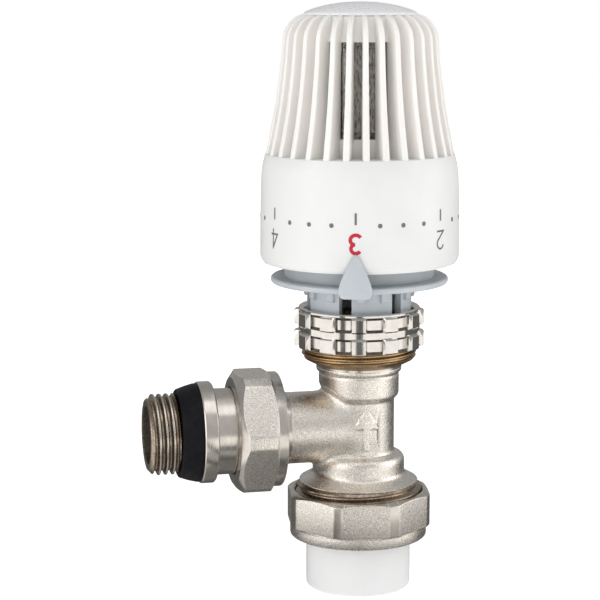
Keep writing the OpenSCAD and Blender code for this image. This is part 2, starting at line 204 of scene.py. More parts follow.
class Shader:
    """A Principled material under construction."""

    def __init__(self, name, colour, roughness, metallic=0.0, **sockets):
        self.material = bpy.data.materials.new(name)
        self.material.use_nodes = True
        self.tree = self.material.node_tree
        self.shader = self.tree.nodes["Principled BSDF"]
        self.shader.inputs["Base Color"].default_value = (*colour, 1)
        self.shader.inputs["Roughness"].default_value = roughness
        self.shader.inputs["Metallic"].default_value = metallic
        for socket, value in sockets.items():
            self.shader.inputs[socket.replace("_", " ")].default_value = value
        self.place = self.node("ShaderNodeTexCoord").outputs["Object"]
        self.normal = None

    def node(self, kind, **values):
        node = self.tree.nodes.new(kind)
        for name, value in values.items():
            setattr(node, name, value)
        return node

    def link(self, output, target):
        self.tree.links.new(output, target)

    def noise(self, size, detail=3.0, stretch=(1, 1, 1), place=None):
        """Noise whose grains are about size millimetres."""
        scale = self.node("ShaderNodeVectorMath", operation="MULTIPLY")
        self.link(place or self.place, scale.inputs[0])
        scale.inputs[1].default_value = [s / (size * MM) for s in stretch]
        noise = self.node("ShaderNodeTexNoise")
        noise.inputs["Scale"].default_value = 1.0
        noise.inputs["Detail"].default_value = detail
        self.link(scale.outputs[0], noise.inputs["Vector"])
        return noise.outputs["Fac"]

    def turned_place(self, branch=False):
        """Coordinates that are the same all round the axis: radius, height."""
        apart = self.node("ShaderNodeSeparateXYZ")
        self.link(self.place, apart.inputs[0])
        across = self.node("ShaderNodeCombineXYZ")
        height = apart.outputs["Z"]
        if branch:
            lift = self.node("ShaderNodeMath", operation="SUBTRACT")
            lift.inputs[1].default_value = BRANCH_Z * MM
            self.link(apart.outputs["Z"], lift.inputs[0])
            self.link(apart.outputs["Y"], across.inputs[0])
            self.link(lift.outputs[0], across.inputs[1])
            height = apart.outputs["X"]
        else:
            self.link(apart.outputs["X"], across.inputs[0])
            self.link(apart.outputs["Y"], across.inputs[1])
        radius = self.node("ShaderNodeVectorMath", operation="LENGTH")
        self.link(across.outputs[0], radius.inputs[0])
        place = self.node("ShaderNodeCombineXYZ")
        self.link(radius.outputs["Value"], place.inputs[0])
        self.link(height, place.inputs[1])
        return place.outputs[0]

    def colours(self, factor, low, high, start=0.3, end=0.7):
        """The base colour runs from low to high as factor goes from start to end."""
        ramp = self.node("ShaderNodeValToRGB")
        ramp.color_ramp.elements[0].position = start
        ramp.color_ramp.elements[0].color = (*low, 1)
        ramp.color_ramp.elements[1].position = end
        ramp.color_ramp.elements[1].color = (*high, 1)
        self.link(factor, ramp.inputs[0])
        self.link(ramp.outputs[0], self.shader.inputs["Base Color"])

    def roughness(self, factor, low, high):
        spread = self.node("ShaderNodeMapRange")
        spread.inputs["From Min"].default_value = 0.3
        spread.inputs["From Max"].default_value = 0.7
        spread.inputs["To Min"].default_value = low
        spread.inputs["To Max"].default_value = high
        self.link(factor, spread.inputs["Value"])
        self.link(spread.outputs[0], self.shader.inputs["Roughness"])

    def bump(self, factor, height, strength=1.0):
        """Adds relief of about height millimetres on top of what is there."""
        bump = self.node("ShaderNodeBump")
        bump.inputs["Strength"].default_value = strength
        bump.inputs["Distance"].default_value = height * MM
        self.link(factor, bump.inputs["Height"])
        if self.normal:
            self.link(self.normal, bump.inputs["Normal"])
        self.normal = bump.outputs["Normal"]
        self.link(self.normal, self.shader.inputs["Normal"])


def blasted_nickel():
    """Nickel plate over sandblasted brass: coarse matte grain."""
    s = Shader("blasted_nickel", (0.56, 0.52, 0.47), 0.36, 1.0)
    s.colours(s.noise(0.27, 2), (0.67, 0.62, 0.56), (0.98, 0.935, 0.87), 0.34, 0.66)
    s.roughness(s.noise(0.9, 2), 0.22, 0.34)
    s.bump(s.noise(1.6, 2), 0.06, 0.5)
    s.bump(s.noise(0.25, 2), 0.085, 1.0)
    return s.material


def turned_nickel(branch):
    """Nickel plate over turned brass: fine rings round the axis."""
    s = Shader("turned_nickel_side" if branch else "turned_nickel", (0.64, 0.60, 0.55), 0.2, 1.0)
    rings = s.noise(0.16, 3, place=s.turned_place(branch))
    s.colours(s.noise(3, 2), (0.60, 0.56, 0.51), (0.68, 0.64, 0.59))
    s.roughness(rings, 0.16, 0.28)
    s.bump(rings, 0.012, 0.5)
    return s.material


def turned_brass(branch=False):
    """Bare brass, turned, with a brown patina in its grooves."""
    s = Shader("turned_brass_side" if branch else "turned_brass", (0.62, 0.44, 0.22), 0.28, 1.0)
    rings = s.noise(0.3, 3, place=s.turned_place(branch))
    s.colours(rings, (0.27, 0.175, 0.09), (0.60, 0.43, 0.24))
    s.roughness(s.noise(0.8, 2), 0.22, 0.36)
    s.bump(rings, 0.02, 0.5)
    return s.material


def thread_nickel():
    """Dull brownish nickel on the cut thread. On the tail's thread it covers only the flanks and roots, as
    painted shade beside crests left bright.
    """
    s = Shader("thread_nickel", (0.42, 0.36, 0.29), 0.26, 1.0)
    s.colours(s.noise(0.7, 3), (0.24, 0.19, 0.14), (0.43, 0.355, 0.28))
    s.roughness(s.noise(0.5, 2), 0.2, 0.36)
    s.bump(s.noise(0.25, 2), 0.02, 0.5)
    return s.material


def painted_bore_shade():
    """Near-black brown metal inside a pipe end: painted shade of the deep bore."""
    s = Shader("painted_bore_shade", (0.06, 0.05, 0.04), 0.5, 0.7)
    s.colours(s.noise(0.8, 3), (0.035, 0.028, 0.022), (0.08, 0.066, 0.052))
    s.roughness(s.noise(0.6, 2), 0.4, 0.6)
    s.bump(s.noise(0.3, 2), 0.01, 0.5)
    return s.material


def bright_chrome():
    """Bright plate with faint marks of the cutter along the height."""
    s = Shader("bright_chrome", (0.84, 0.81, 0.77), 0.09, 1.0)
    s.roughness(s.noise(0.5, 3, stretch=(1, 1, 0.1)), 0.06, 0.16)
    s.colours(s.noise(2.5, 2), (0.63, 0.605, 0.57), (0.72, 0.695, 0.66))
    s.bump(s.noise(0.4, 3, stretch=(1, 1, 0.08)), 0.008, 0.4)
    return s.material


def pocket_shade_chrome():
    """Dark brownish chrome on the lock nut's pocket ends: painted shade for the dark lines there."""
    s = Shader("pocket_shade_chrome", (0.17, 0.15, 0.125), 0.35, 0.9)
    s.colours(s.noise(0.6, 3), (0.09, 0.078, 0.065), (0.24, 0.21, 0.175))
    s.roughness(s.noise(0.5, 2), 0.28, 0.45)
    s.bump(s.noise(0.3, 2), 0.01, 0.5)
    return s.material


def moulded(name, low, high, roughness, grain=0.5, depth=0.006, soft=0.0):
    """Moulded plastic: a slight cloud in its colour and a fine moulded grain."""
    s = Shader(name, high, roughness, Subsurface_Weight=soft, Subsurface_Scale=0.002)
    s.colours(s.noise(9, 2), low, high)
    s.roughness(s.noise(1.2, 2), roughness - 0.04, roughness + 0.05)
    s.bump(s.noise(grain, 2), depth, 0.5)
    return s.material


def moulded_rubber():
    s = Shader("moulded_rubber", (0.004, 0.0045, 0.006), 0.55, Specular_IOR_Level=0.15)
    s.colours(s.noise(2, 3), (0.002, 0.0022, 0.003), (0.006, 0.0063, 0.009))
    s.roughness(s.noise(1.5, 2), 0.42, 0.6)
    s.bump(s.noise(0.3, 3), 0.012, 0.6)
    return s.material


def speckled_tin():
    """The sensor's can: dull metal, speckled across with light and dark flecks."""
    s = Shader("speckled_tin", (0.30, 0.29, 0.27), 0.38, 0.85)
    flecks = s.noise(0.5, 5, stretch=(1.2, 1.2, 0.3))
    s.colours(flecks, (0.17, 0.16, 0.145), (0.62, 0.60, 0.56), 0.34, 0.66)
    s.roughness(s.noise(0.6, 2), 0.28, 0.55)
    s.bump(flecks, 0.05, 0.8)
    return s.material


def turned_steel():
    s = Shader("turned_steel", (0.5, 0.5, 0.5), 0.3, 1.0)
    s.colours(s.noise(1.5, 2), (0.44, 0.44, 0.44), (0.56, 0.56, 0.56))
    s.bump(s.noise(0.2, 3, place=s.turned_place()), 0.01, 0.5)
    return s.material


def ink(name, colour):
    s = Shader(name, colour, 0.4)
    s.colours(s.noise(0.8, 2), [c * 0.88 for c in colour], colour)
    s.bump(s.noise(0.3, 2), 0.004, 0.4)
    return s.material


NICKEL = blasted_nickel()
NICKEL_TURNED = turned_nickel(False)
NICKEL_TURNED_SIDE = turned_nickel(True)
NICKEL_THREAD = thread_nickel()
BRASS = turned_brass()
BRASS_SIDE = turned_brass(True)
BORE_SHADE = painted_bore_shade()
CHROME = bright_chrome()
CHROME_POCKET_SHADE = pocket_shade_chrome()
RUBBER = moulded_rubber()
STEEL = turned_steel()
TIN = speckled_tin()
WHITE = moulded("white_dial", (0.755, 0.755, 0.745), (0.78, 0.78, 0.77), 0.34)
WARM_WHITE = moulded("white_ribs", (0.865, 0.845, 0.81), (0.885, 0.865, 0.835), 0.4, soft=0.12)
CAP_WHITE = moulded("white_cap", (0.86, 0.865, 0.88), (0.89, 0.895, 0.91), 0.3, grain=2.5, depth=0.003)
PIPE_WHITE = moulded("pipe_white", (0.78, 0.785, 0.78), (0.81, 0.81, 0.81), 0.38, soft=0.15)
GREY = moulded("grey_base", (0.46, 0.495, 0.525), (0.51, 0.545, 0.575), 0.36)
BEIGE = moulded("beige_liner", (0.60, 0.57, 0.52), (0.66, 0.63, 0.58), 0.45)
RED_INK = ink("red_ink", (0.54, 0.004, 0.028))
GREY_INK = ink("grey_ink", (0.16, 0.16, 0.16))


def paint(piece, *materials, choose=None):
    """Gives a piece its materials; choose says which one a face takes, from its middle in mm."""
    piece.data.materials.clear()
    for material in materials:
        piece.data.materials.append(material)
    if choose:
        for face in piece.data.polygons:
            face.material_index = choose(*(face.center / MM))
    return piece


def done(piece, body, slot, *nodes):
    """The piece moves with its body and stands for its CAD nodes, which it hides; slot is not used."""
    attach(piece, body)
    if nodes:
        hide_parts(*nodes)
    return piece


# --- valve body -------------------------------------------------------------------------------

VOXEL = 0.26


def merge(a, b, radius):
    """Union of two distances, with a fillet of about that radius."""
    h = np.maximum(radius - np.abs(a - b), 0) / radius
    return np.minimum(a, b) - h * h * radius / 4


def cut(a, b, radius):
    """Overlap of two distances, with the edge rounded to about that radius."""
    return -merge(-a, -b, radius)


def disc(r, z, radius, low, high, edge):
    """A round bar along the height, its ends rounded."""
    return cut(cut(r - radius, low - z, edge), z - high, edge)


def arrow_outline(across, up):
    """Distance to a plain flow arrow that points up: a shaft and a head."""
    start, neck, tip = 38.4, 44.0, 49.2
    half_shaft = 0.75
    slope = 0.62
    shaft = np.maximum(np.abs(across) - half_shaft, np.maximum(start - up, up - neck - 0.5))
    head = np.maximum((np.abs(across) - (tip - up) * slope) / math.hypot(1, slope), neck - up)
    return np.minimum(shaft, head)


def forging_distance(x, y, z):
    """How far each point is outside the raw forging, before its ends are turned."""
    r = np.hypot(x, y)
    towards_branch = eased((-x / np.maximum(r, 0.1) - 0.5) / 0.5)
    barrel = disc(r, z, 9.3, 28, 60, 0.5)
    upper = cut(r - 10.48, 51.0 + 2.6 * towards_branch - z, 1.6)
    upper = cut(upper, z - 57.7, 0.9)
    neck = disc(r, z, 11.15, 57.75, 61, 0.9)
    lower = disc(r, z, 12.07, 27, 36.1, 2.4)
    bell = cut((r - 12.1 - (30.6 - z) * 1.85) / 2.1, r - 15.75, 0.2)
    trunk = merge(merge(barrel, upper, 0.9), neck, 0.5)
    trunk = merge(merge(trunk, lower, 1.2), bell, 0.9)
    across = np.hypot(y, z - BRANCH_Z)
    side = disc(across, -x, 9.34, -2, 24, 0.5)
    shape = merge(trunk, side, 2.1)
    round_front = np.degrees(np.arctan2(x, -y)) + 2.0
    mark = np.maximum(arrow_outline(np.radians(round_front) * 9.3, z), np.maximum(r - 10.2, y + 2))
    return merge(shape, mark, 0.2)


def forging():
    """The raw forging as a mesh: smooth fillets between the barrel, the collars and the branch."""
    low = np.array([-21.8, -16.4, 26.6])
    high = np.array([16.4, 16.4, 60.6])
    counts = np.ceil((high - low) / VOXEL).astype(int)
    axes = [low[i] + VOXEL * np.arange(counts[i]) for i in range(3)]
    x, y, z = np.meshgrid(*axes, indexing="ij", sparse=True)
    r = np.hypot(x, y)
    top_end, bottom_end, side_end = 59.3, 28.55, -20.5
    distance = forging_distance(x, y, z)
    distance = np.maximum(distance, np.maximum(z - top_end, bottom_end - z))
    distance = np.maximum(distance, side_end - x)
    bore = np.where(z > 37.4, r - 7.7, r - 5.2)
    bore = np.where(z > 34.4, bore, r - 8.0)
    side_bore = np.maximum(np.hypot(y, z - BRANCH_Z) - 5.7, x)
    distance = np.maximum(distance, -np.minimum(bore, side_bore))
    grid = openvdb.FloatGrid(3.0)
    grid.copyFromArray(np.clip(distance, -3, 3).astype(np.float32))
    grid.transform = openvdb.createLinearTransform(voxelSize=VOXEL)
    points, quads = grid.convertToQuads(isovalue=0)
    return mesh_object("valve_body_forging", points + low, [tuple(q) for q in quads], sharp=50)


def valve_body():
    """The forging with its three turned ends."""
    raw = paint(forging(), NICKEL)
    root, m30 = thread(THREAD_M30_R, PITCH_M30, 61.2, 72.4, 0.6)

    def top(angle):
        foot = [(10.0, 58.9), (10.9, 58.9), (11.15, 59.15), (11.15, 59.7), (root, 61.2)]
        return [*foot, *m30(angle), (10.5, 72.4), (10.5, 66.0), (8.5, 66.0), (8.5, 58.9)]

    top_end = spun("body_top", top, steps=120)
    paint(top_end, BRASS, NICKEL_TURNED,
          choose=lambda x, y, z: int(z < 59.6 and math.hypot(x, y) > 10.5))
    _, g1 = thread(THREAD_G1_R, PITCH_G1, 20.8, 28.35, 0.58)

    def bottom(angle):
        return [(8.0, 20.8), *g1(angle), (15.2, 28.35), (15.2, 28.9), (8.0, 28.9)]

    bottom_end = paint(spun("body_foot", bottom, steps=120), NICKEL_THREAD)
    root_g34, g34 = thread(THREAD_G34_R, PITCH_G34, 22.3, 29.2, 0.6)

    def mouth(angle):
        neck = [(5.7, 19.6), (9.5, 19.6), (9.72, 19.82), (9.72, 21.25), (9.78, 21.3), (9.78, 22.0)]
        return [*neck, (root_g34, 22.3), *g34(angle), (9.95, 29.2), (9.95, 25.6), (5.7, 25.6)]

    side_end = spun("body_side", mouth, BRANCH, steps=120)
    paint(side_end, BRASS_SIDE, NICKEL_TURNED_SIDE, choose=lambda x, y, z: int(x > -21.25))
    body = joined("valve_body_casting", [raw, top_end, bottom_end, side_end])
    return done(body, "valve", "plated_brass", "valve_body")


# --- union nuts -------------------------------------------------------------------------------


def prism_radius(angle, sides, flats, cut_flats, phase, soft=0.25):
    """Outer radius of a prism whose corners are cut off flat, with its edges a little soft."""
    step = 360 / sides
    wrapped = (angle - phase + step / 2) % step - step / 2
    to_corner = step / 2 - abs(wrapped)
    flat = flats / 2 / math.cos(math.radians(wrapped))
    corner_flat = cut_flats / 2 / math.cos(math.radians(to_corner))
    h = max(soft - abs(flat - corner_flat), 0) / soft
    return min(flat, corner_flat) - h * h * soft / 4


def prism_angles(sides, flats, cut_flats, phase, per_side=30):
    """Angles that follow a cut prism's edges closely."""
    step = 360 / sides

    def reaches_cut(angle):
        corner_flat = cut_flats / math.cos(math.radians(step / 2 - angle))
        return flats / math.cos(math.radians(angle)) >= corner_flat

    half = next(a / 100 for a in range(0, 3000) if reaches_cut(a / 100))
    near_edge = [half + d for d in (-1.2, -0.7, -0.35, 0, 0.35, 0.7, 1.2)]
    around = sorted({0.0, *np.linspace(-step / 2, step / 2, per_side, endpoint=False),
                     *near_edge, *[-a for a in near_edge]})
    turns = [phase + step * i + a for i in range(sides) for a in around]
    start = turns[0]
    return [*sorted({round(t, 4) for t in turns}), start + 360]


def inlet_nut():
    """The eight-sided union nut: a round collar below, sandblasted flats, a lightly turned top."""
    sides, flats, cuts = 8, 36.5, 38.4
    half_side = 180 / sides
    corner_turn = 15.2  # direction of one corner's middle, from +X
    phase = corner_turn + half_side
    top = 26.2

    def profile(angle):
        r = prism_radius(angle, sides, flats, cuts, phase)
        chamfer = max(r - 17.75, 0) * 0.5
        return rounded([
            (13.95, 14.0), (18.0, 14.0, 0.5), (18.0, 16.75, 0.05), (17.6, 16.8), (17.6, 17.05),
            (r, 17.3, 0.3), (r, top - chamfer, 0.3), (17.75, top, 0.15), (17.1, top), (16.75, top - 0.4),
            (16.75, 16.25), (13.95, 16.25),
        ], 3)

    nut = spun("inlet_union_nut", profile, angles=prism_angles(sides, flats, cuts, phase), sharp=20)

    def side(x, y, z):
        if math.hypot(x, y) < 16.9:
            return 2
        around = math.degrees(math.atan2(y, x))
        from_flat = (around - phase + half_side) % (2 * half_side) - half_side
        return int(z > 25.9 or (z > 17 and abs(from_flat) > 18.6))

    paint(nut, NICKEL, NICKEL_TURNED, BRASS, choose=side)
    return done(nut, "inlet_nut", "plated_brass", "inlet_nut")


def outlet_nut():
    """The six-sided union nut: a round collar at the back, a long polished chamfer in front."""
    sides, flats, cuts, phase = 6, 30.0, 32.8, 0.0
    back, face = 21.76, 34.1
    cone_foot = 13.9
    slope = 0.72

    def profile(angle):
        r = prism_radius(angle, sides, flats, cuts, phase)
        corner_at = face - 0.25 - (r - cone_foot) * slope
        return rounded([
            (13.3, back), (14.93, back, 0.35), (14.93, 24.2, 0.1),
            (r, 24.2 + max(r - 14.93, 0) * 0.55, 0.25), (r, corner_at, 0.12), (cone_foot, face - 0.25, 0.4),
            (12.2, face, 0.3), (11.45, face, 0.2), (11.45, 31.75), (13.3, 31.75),
        ], 3)

    nut = spun("outlet_union_nut", profile, BRANCH, sharp=20,
               angles=prism_angles(sides, flats, cuts, phase))

    def side(x, y, z):
        r = math.hypot(y, z - BRANCH_Z)
        along = -x
        if r < 13.35 and along < 31.7:
            return 2
        around = math.degrees(math.atan2(y, z - BRANCH_Z))
        edge = prism_radius(around, sides, flats, cuts, phase)
        on_cone = along > face - 0.25 - (edge - cone_foot) * slope - 0.02
        return int(along < 24.1 or on_cone)

    paint(nut, NICKEL, NICKEL_TURNED_SIDE, BRASS_SIDE, choose=side)
    return done(nut, "outlet_nut", "plated_brass", "outlet_nut")


# --- pipe socket and radiator tail ------------------------------------------------------------


def inlet_tail():
    outline = rounded([
        (9.65, 0.35), (9.95, 0.0), (13.72, 0.0, 1.1), (13.78, 13.9), (13.75, 16.3), (16.2, 16.3, 0.3),
        (16.2, 19.2, 0.3), (7.0, 19.2, 0.4), (7.0, 14.5, 0.3), (9.65, 14.5, 0.3),
    ], 6)
    socket = paint(spun("pipe_socket", outline, steps=160), PIPE_WHITE)
    return done(socket, "inlet", "pipe_plastic", "inlet_tail")


def outlet_tail():
    _, g12 = thread(THREAD_G12_R, PITCH_G34, 48.0, 55.9, 0.64, 1.1)

    def outline(angle):
        shank = rounded([
            (7.5, 25.8), (9.6, 25.8, 0.5), (9.6, 26.6), (8.55, 26.6), (8.55, 28.2), (9.6, 28.2),
            (9.6, 29.26), (12.9, 29.26), (12.9, 31.7, 0.3), (11.17, 31.7), (11.17, 39.0, 0.2),
            (11.45, 39.2), (12.8, 39.2, 0.3), (13.15, 39.55, 0.3), (13.15, 42.6, 0.3),
            (12.9, 42.9, 0.1), (10.0, 42.9),
        ], 3)
        end = [(9.1, 56.15), (8.9, 56.2), (8.0, 56.2), (7.6, 56.0), (7.5, 55.7)]
        return [*shank, *g12(angle), *end]

    tail = spun("radiator_tail", outline, BRANCH, steps=128)

    def shade_and_highlight_zone(x, y, z):
        along = -x
        r = math.hypot(y, z - BRANCH_Z)
        # The bore takes near-black metal as painted shade.
        if r < 7.75:
            return 2
        # Crest faces keep the bright turned nickel as a painted highlight; flanks and roots take the darker
        # thread nickel as painted shade.
        return int(along > 44 and r < THREAD_G12_R - 0.06)

    paint(tail, NICKEL_TURNED_SIDE, NICKEL_THREAD, BORE_SHADE, choose=shade_and_highlight_zone)
    return done(tail, "tail", "plated_brass", "outlet_tail")


def cone_seal():
    outline = rounded([
        (10.0, 42.9), (12.75, 42.9, 0.3), (12.7, 43.8, 0.9), (12.2, 45.8, 2), (11.35, 48.3, 0.5),
        (10.0, 48.3),
    ], 6)
    return done(paint(spun("cone_seal", outline, BRANCH), RUBBER), "tail", "black_rubber", "self_seal_ring")


# --- lock nut, base and pointer ---------------------------------------------------------------

LUGS = 12
LUG_FROM = 15.7  # direction of the first lug's middle


def lug_share(angle, foot=8.1, top=6.0):
    """1 on a lug, 0 in a recess, sloping between."""
    step = 360 / LUGS
    away = abs((angle - LUG_FROM + step / 2) % step - step / 2)
    return min(max((foot - away) / (foot - top), 0), 1)


def lug_row(start, end, share):
    """One row's outline at an angle: a lug with bevelled ends, or a pocket with sloping ends."""
    recess, band, lug = 15.12, 15.8, 16.92
    bevel = 0.36
    if share > 0:
        r = band + (lug - band) * share
        foot = band + max(lug - band - bevel, 0) * share
        depth = bevel * share + 0.6 * (1 - share)
        return [(band, start), (foot, start), (r, start + depth),
                (r, end - depth), (foot, end), (band, end)]
    slope = 0.7
    return [(band, start), (band, start), (recess, start + slope),
            (recess, end - slope), (band, end), (band, end)]


def lock_nut():
    """The chrome ring nut: two rows of lugs with a groove between, and pockets between the lugs."""

    def profile(angle):
        share = lug_share(angle)
        rows = [*lug_row(64.65, 68.6, share), *lug_row(70.25, 74.1, share)]
        return [(15.05, 64.9), (15.25, 64.65), *rows, (15.84, 74.2), (15.84, 74.62), (15.55, 74.9),
                (15.0, 74.9), (14.3, 74.2), (14.3, 73.5), (15.05, 73.5)]

    step = 360 / LUGS
    edges = [8.35, 8.101, 8.1, 7.6, 7.05, 6.5, 6.0, 5.5]
    around = [-step / 2, -11.5, *[-e for e in edges], -2.8, 0, 2.8, *reversed(edges), 11.5]
    turns = [LUG_FROM + step * i + a for i in range(LUGS) for a in around]
    nut = spun("lock_ring_nut", profile, angles=[*turns, turns[0] + 360], sharp=18)

    # The sloping ends of each pocket take the dark chrome: painted shade lines at each pocket's top and
    # bottom.
    def pocket_end_shade(x, y, z):
        near_end = min(abs(z - level) for level in (65.0, 68.25, 70.6, 73.75)) < 0.12
        return int(near_end and 15.2 < math.hypot(x, y) < 15.72)

    paint(nut, CHROME, CHROME_POCKET_SHADE, choose=pocket_end_shade)
    return done(nut, "lock_nut", "chrome", "lock_nut")


FINGERS = 6
FIRST_SLOT = -12.9  # direction of one slot's middle, from the pointer's


def head_base():
    """The grey base: drum with the drive thread inside, and the slotted collar under its plate."""
    drum = rounded([
        (11.6, 81.2), (13.6, 81.2), (13.6, 81.5), (19.42, 81.5), (19.42, 95, 0.3), (18.4, 95, 0.3),
        (18.4, 83), (16.0, 83), (16.0, 104, 0.3), (14.6, 104, 0.3), (14.6, 83, 0.3), (11.6, 83),
    ], 4)
    pieces = [spun("base_drum", drum, HEAD)]
    half_slot = math.degrees(math.asin(1.65 / 13.6))
    turn = Matrix.Rotation(math.radians(FIRST_SLOT), 4, "Z")
    for i in range(FINGERS):
        start = 360 / FINGERS * i + half_slot
        end = 360 / FINGERS * (i + 1) - half_slot
        finger = rounded([
            (11.6, 72.45), (14.6, 72.45, 0.2), (14.75, 73.45, 0.1), (13.55, 73.45, 0.15), (13.6, 81.3),
            (11.6, 81.3),
        ], 3)
        pieces.append(spun("finger", finger, HEAD @ turn, angles=np.linspace(start, end, 24)))
        for side in (-1, 1):
            middle = (start + end) / 2 + 13 * side
            pad = rounded([
                (13.2, 77.6), (14.1, 77.6, 0.3), (14.4, 78.1, 0.25), (14.4, 81.6), (13.2, 81.6),
            ], 3)
            around = np.linspace(middle - 4.3, middle + 4.3, 9)
            pieces.append(spun("pad", pad, HEAD @ turn, angles=around))
    return done(paint(joined("sensor_head_base", pieces), GREY), "head", "grey_plastic", "head_base")


def pointer_half_width(z):
    """The pointer's outline: a tall rounded arrowhead on a slightly drawn-in foot."""
    levels = [80.8, 81.3, 82.2, 83.2, 84.6, 86.0, 87.4, 88.6, 89.8, 90.8, 91.4, 91.75, 91.9]
    widths = [3.45, 3.85, 4.1, 4.15, 3.8, 3.25, 2.66, 2.08, 1.48, 0.95, 0.6, 0.32, 0.0]
    return float(np.interp(z, levels, widths))


def pointer():
    """A solid with a flat face, wide bevels and a back that follows the dial's band."""
    levels = [*np.linspace(80.8, 82.2, 6), *np.linspace(82.6, 90.6, 18), *np.linspace(90.8, 91.9, 10)]
    points = []
    rows = 0
    for z in levels:
        w = pointer_half_width(z)
        bevel = min(0.95, w * 0.45)
        front = float(np.interp(z, [80.8, 82.2, 87, 91.9], [26.75, 27.4, 27.3, 26.7]))
        back = 26.12 if z > 83.2 else float(np.interp(z, [82.9, 83.2], [22.5, 26.12]))
        side = max(front - 0.55, back + 0.05)
        section = [(back, -w), (side, -w), (front - 0.08, -w + bevel * 0.8), (front, -w + bevel),
                   (front, w - bevel), (front - 0.08, w - bevel * 0.8), (side, w), (back, w)]
        rows = len(section)
        points += [(math.sqrt(max(r * r - y * y, 0)), y, z) for r, y in section]
    faces = skin_faces(len(levels), rows)
    faces.append(tuple(range(rows)))
    return mesh_object("pointer", points, faces, HEAD, sharp=24)


def indicator_ring():
    ring = rounded([
        (19.4, 81.45), (22.6, 81.3, 0.3), (22.97, 81.75, 0.3), (22.97, 82.6, 0.3), (22.5, 82.95, 0.3),
        (19.4, 83.0),
    ], 4)
    piece = joined("indicator_ring_and_pointer", [spun("ring", ring, HEAD, steps=180), pointer()])
    return done(paint(piece, GREY), "head", "grey_plastic", "indicator_ring")


# --- handwheel --------------------------------------------------------------------------------

RIBS = 30
WINDOWS = 2
WINDOW_HALF = 29.0  # half of a window's width, in degrees
LINER_HALF = 20.7  # and half of the opening in the lining behind it
SCALE_STEP = 54.0  # turn between two numbers

# The outsides of the number band, the ribs and the wall behind them, as (radius, height)
BAND_LINE = [(25.73, 89.7), (25.59, 102.7), (25.36, 109.1), (24.35, 114.65)]
RIB_LINE = [(24.33, 114.5), (22.98, 120.6), (21.49, 128.8), (20.33, 138.2), (19.74, 144.7), (18.34, 147.5),
            (16.5, 149.2), (14.2, 150.1)]
WALL_LINE = [(17.0, 114.5), (16.8, 120.6), (16.5, 128.8), (16.2, 138.2), (15.6, 143.2), (14.9, 145.2),
             (14.3, 146.6), (13.7, 147.8)]
BAND_SIDE = [tuple(p) for p in smooth_line([(25.65, 88.6), *BAND_LINE[:-1], (25.02, 112.2)], 6)]


def band_radius(z):
    """Radius of the number band's outside."""
    return float(np.interp(z, [p[1] for p in BAND_SIDE], [p[0] for p in BAND_SIDE]))


def number_band():
    outline = rounded([
        (23.3, 86.9), (24.0, 86.6), (24.9, 86.75, 0.3), (25.45, 87.5, 0.9), *BAND_SIDE,
        (24.38, 114.65, 0.25), (16.2, 114.65), (15.8, 112.6), (12.7, 112.5, 0.2), (12.7, 110.5, 0.2),
        (16.06, 110.5), (16.06, 90.5, 0.2), (18.1, 90.5, 0.2), (18.1, 110.5), (23.1, 108.0, 2.0),
    ], 4)
    return spun("number_band", outline, HEAD, steps=240, sharp=40)


def inner_wall():
    """The wall behind the ribs, with its windows, and the crown that carries the cap."""
    pieces = []
    foot = rounded([(17.0, 114.4), (16.9, 119.3, 0.2), (15.4, 119.3, 0.2), (15.6, 114.4)], 3)
    crown = rounded([
        (16.0, 143.2, 0.2), (15.5, 144.6), (14.6, 147.0), (14.3, 149.55), (13.4, 149.6), (13.4, 146.8),
        (14.0, 145.0), (14.4, 143.2, 0.2),
    ], 3)
    pieces.append(spun("wall_foot", foot, HEAD))
    pieces.append(spun("crown", crown, HEAD))
    panel = [(16.9, 119.1), (16.5, 128.8), (16.2, 138.2), (15.98, 143.4), (14.5, 143.4), (15.2, 119.1)]
    gap = 360 / WINDOWS
    for i in range(WINDOWS):
        start = gap * i + WINDOW_HALF
        end = gap * (i + 1) - WINDOW_HALF
        pieces.append(spun("wall_panel", panel, HEAD, angles=np.linspace(start, end, 60)))
    return pieces


def window_liner():
    """The beige lining behind each window, whose own opening is narrower."""
    lining = rounded([(12.4, 119.6), (13.3, 119.6, 0.2), (13.1, 143.0, 0.2), (12.4, 143.0)], 3)
    gap = 360 / WINDOWS
    turns = [np.linspace(gap * i + LINER_HALF, gap * (i + 1) - LINER_HALF, 60) for i in range(WINDOWS)]
    return joined("window_liner", [spun("lining", lining, HEAD, angles=t) for t in turns])


def rib(middle):
    """One upright rib: a thin tapering plate with a softly rounded outer edge."""
    outer = smooth_line(RIB_LINE, 5)
    inner = smooth_line([(r - 0.6, z) for r, z in WALL_LINE], 5)
    points = []
    rows = 0
    for (ro, zo), (ri, zi) in zip(outer, inner):
        share = (zo - 114.5) / 36
        half = (1.7 - 0.45 * share) / 2
        soft = 0.38
        run = Vector((ro - ri, zo - zi))
        run.normalize()
        bend = [(-soft + soft * math.cos(a), half - soft + soft * math.sin(a))
                for a in np.radians([90, 68, 45, 22, 0])]
        edge = [*bend, *[(u, -v) for u, v in reversed(bend)]]
        section = [(ri, half * 0.9, zi)]
        section += [(ro + run.x * u, v, zo + run.y * u) for u, v in edge]
        section.append((ri, -half * 0.9, zi))
        rows = len(section)
        points += section
    faces = skin_faces(len(outer), rows)
    faces += [tuple(range(rows)), tuple(range((len(outer) - 1) * rows, len(outer) * rows))]
    turn = Matrix.Rotation(math.radians(middle), 4, "Z")
    return mesh_object("rib", points, faces, HEAD @ turn, sharp=40)


def handwheel():
    band = paint(number_band(), WHITE)
    cage = [*inner_wall(), *[rib(360 / RIBS * (i + 0.5)) for i in range(RIBS)]]
    cage = paint(joined("ribs_and_wall", cage), WARM_WHITE)
    liner = paint(window_liner(), BEIGE)
    piece = joined("handwheel_shell", [band, cage, liner])
    return done(piece, "handwheel", "white_plastic", "handwheel")


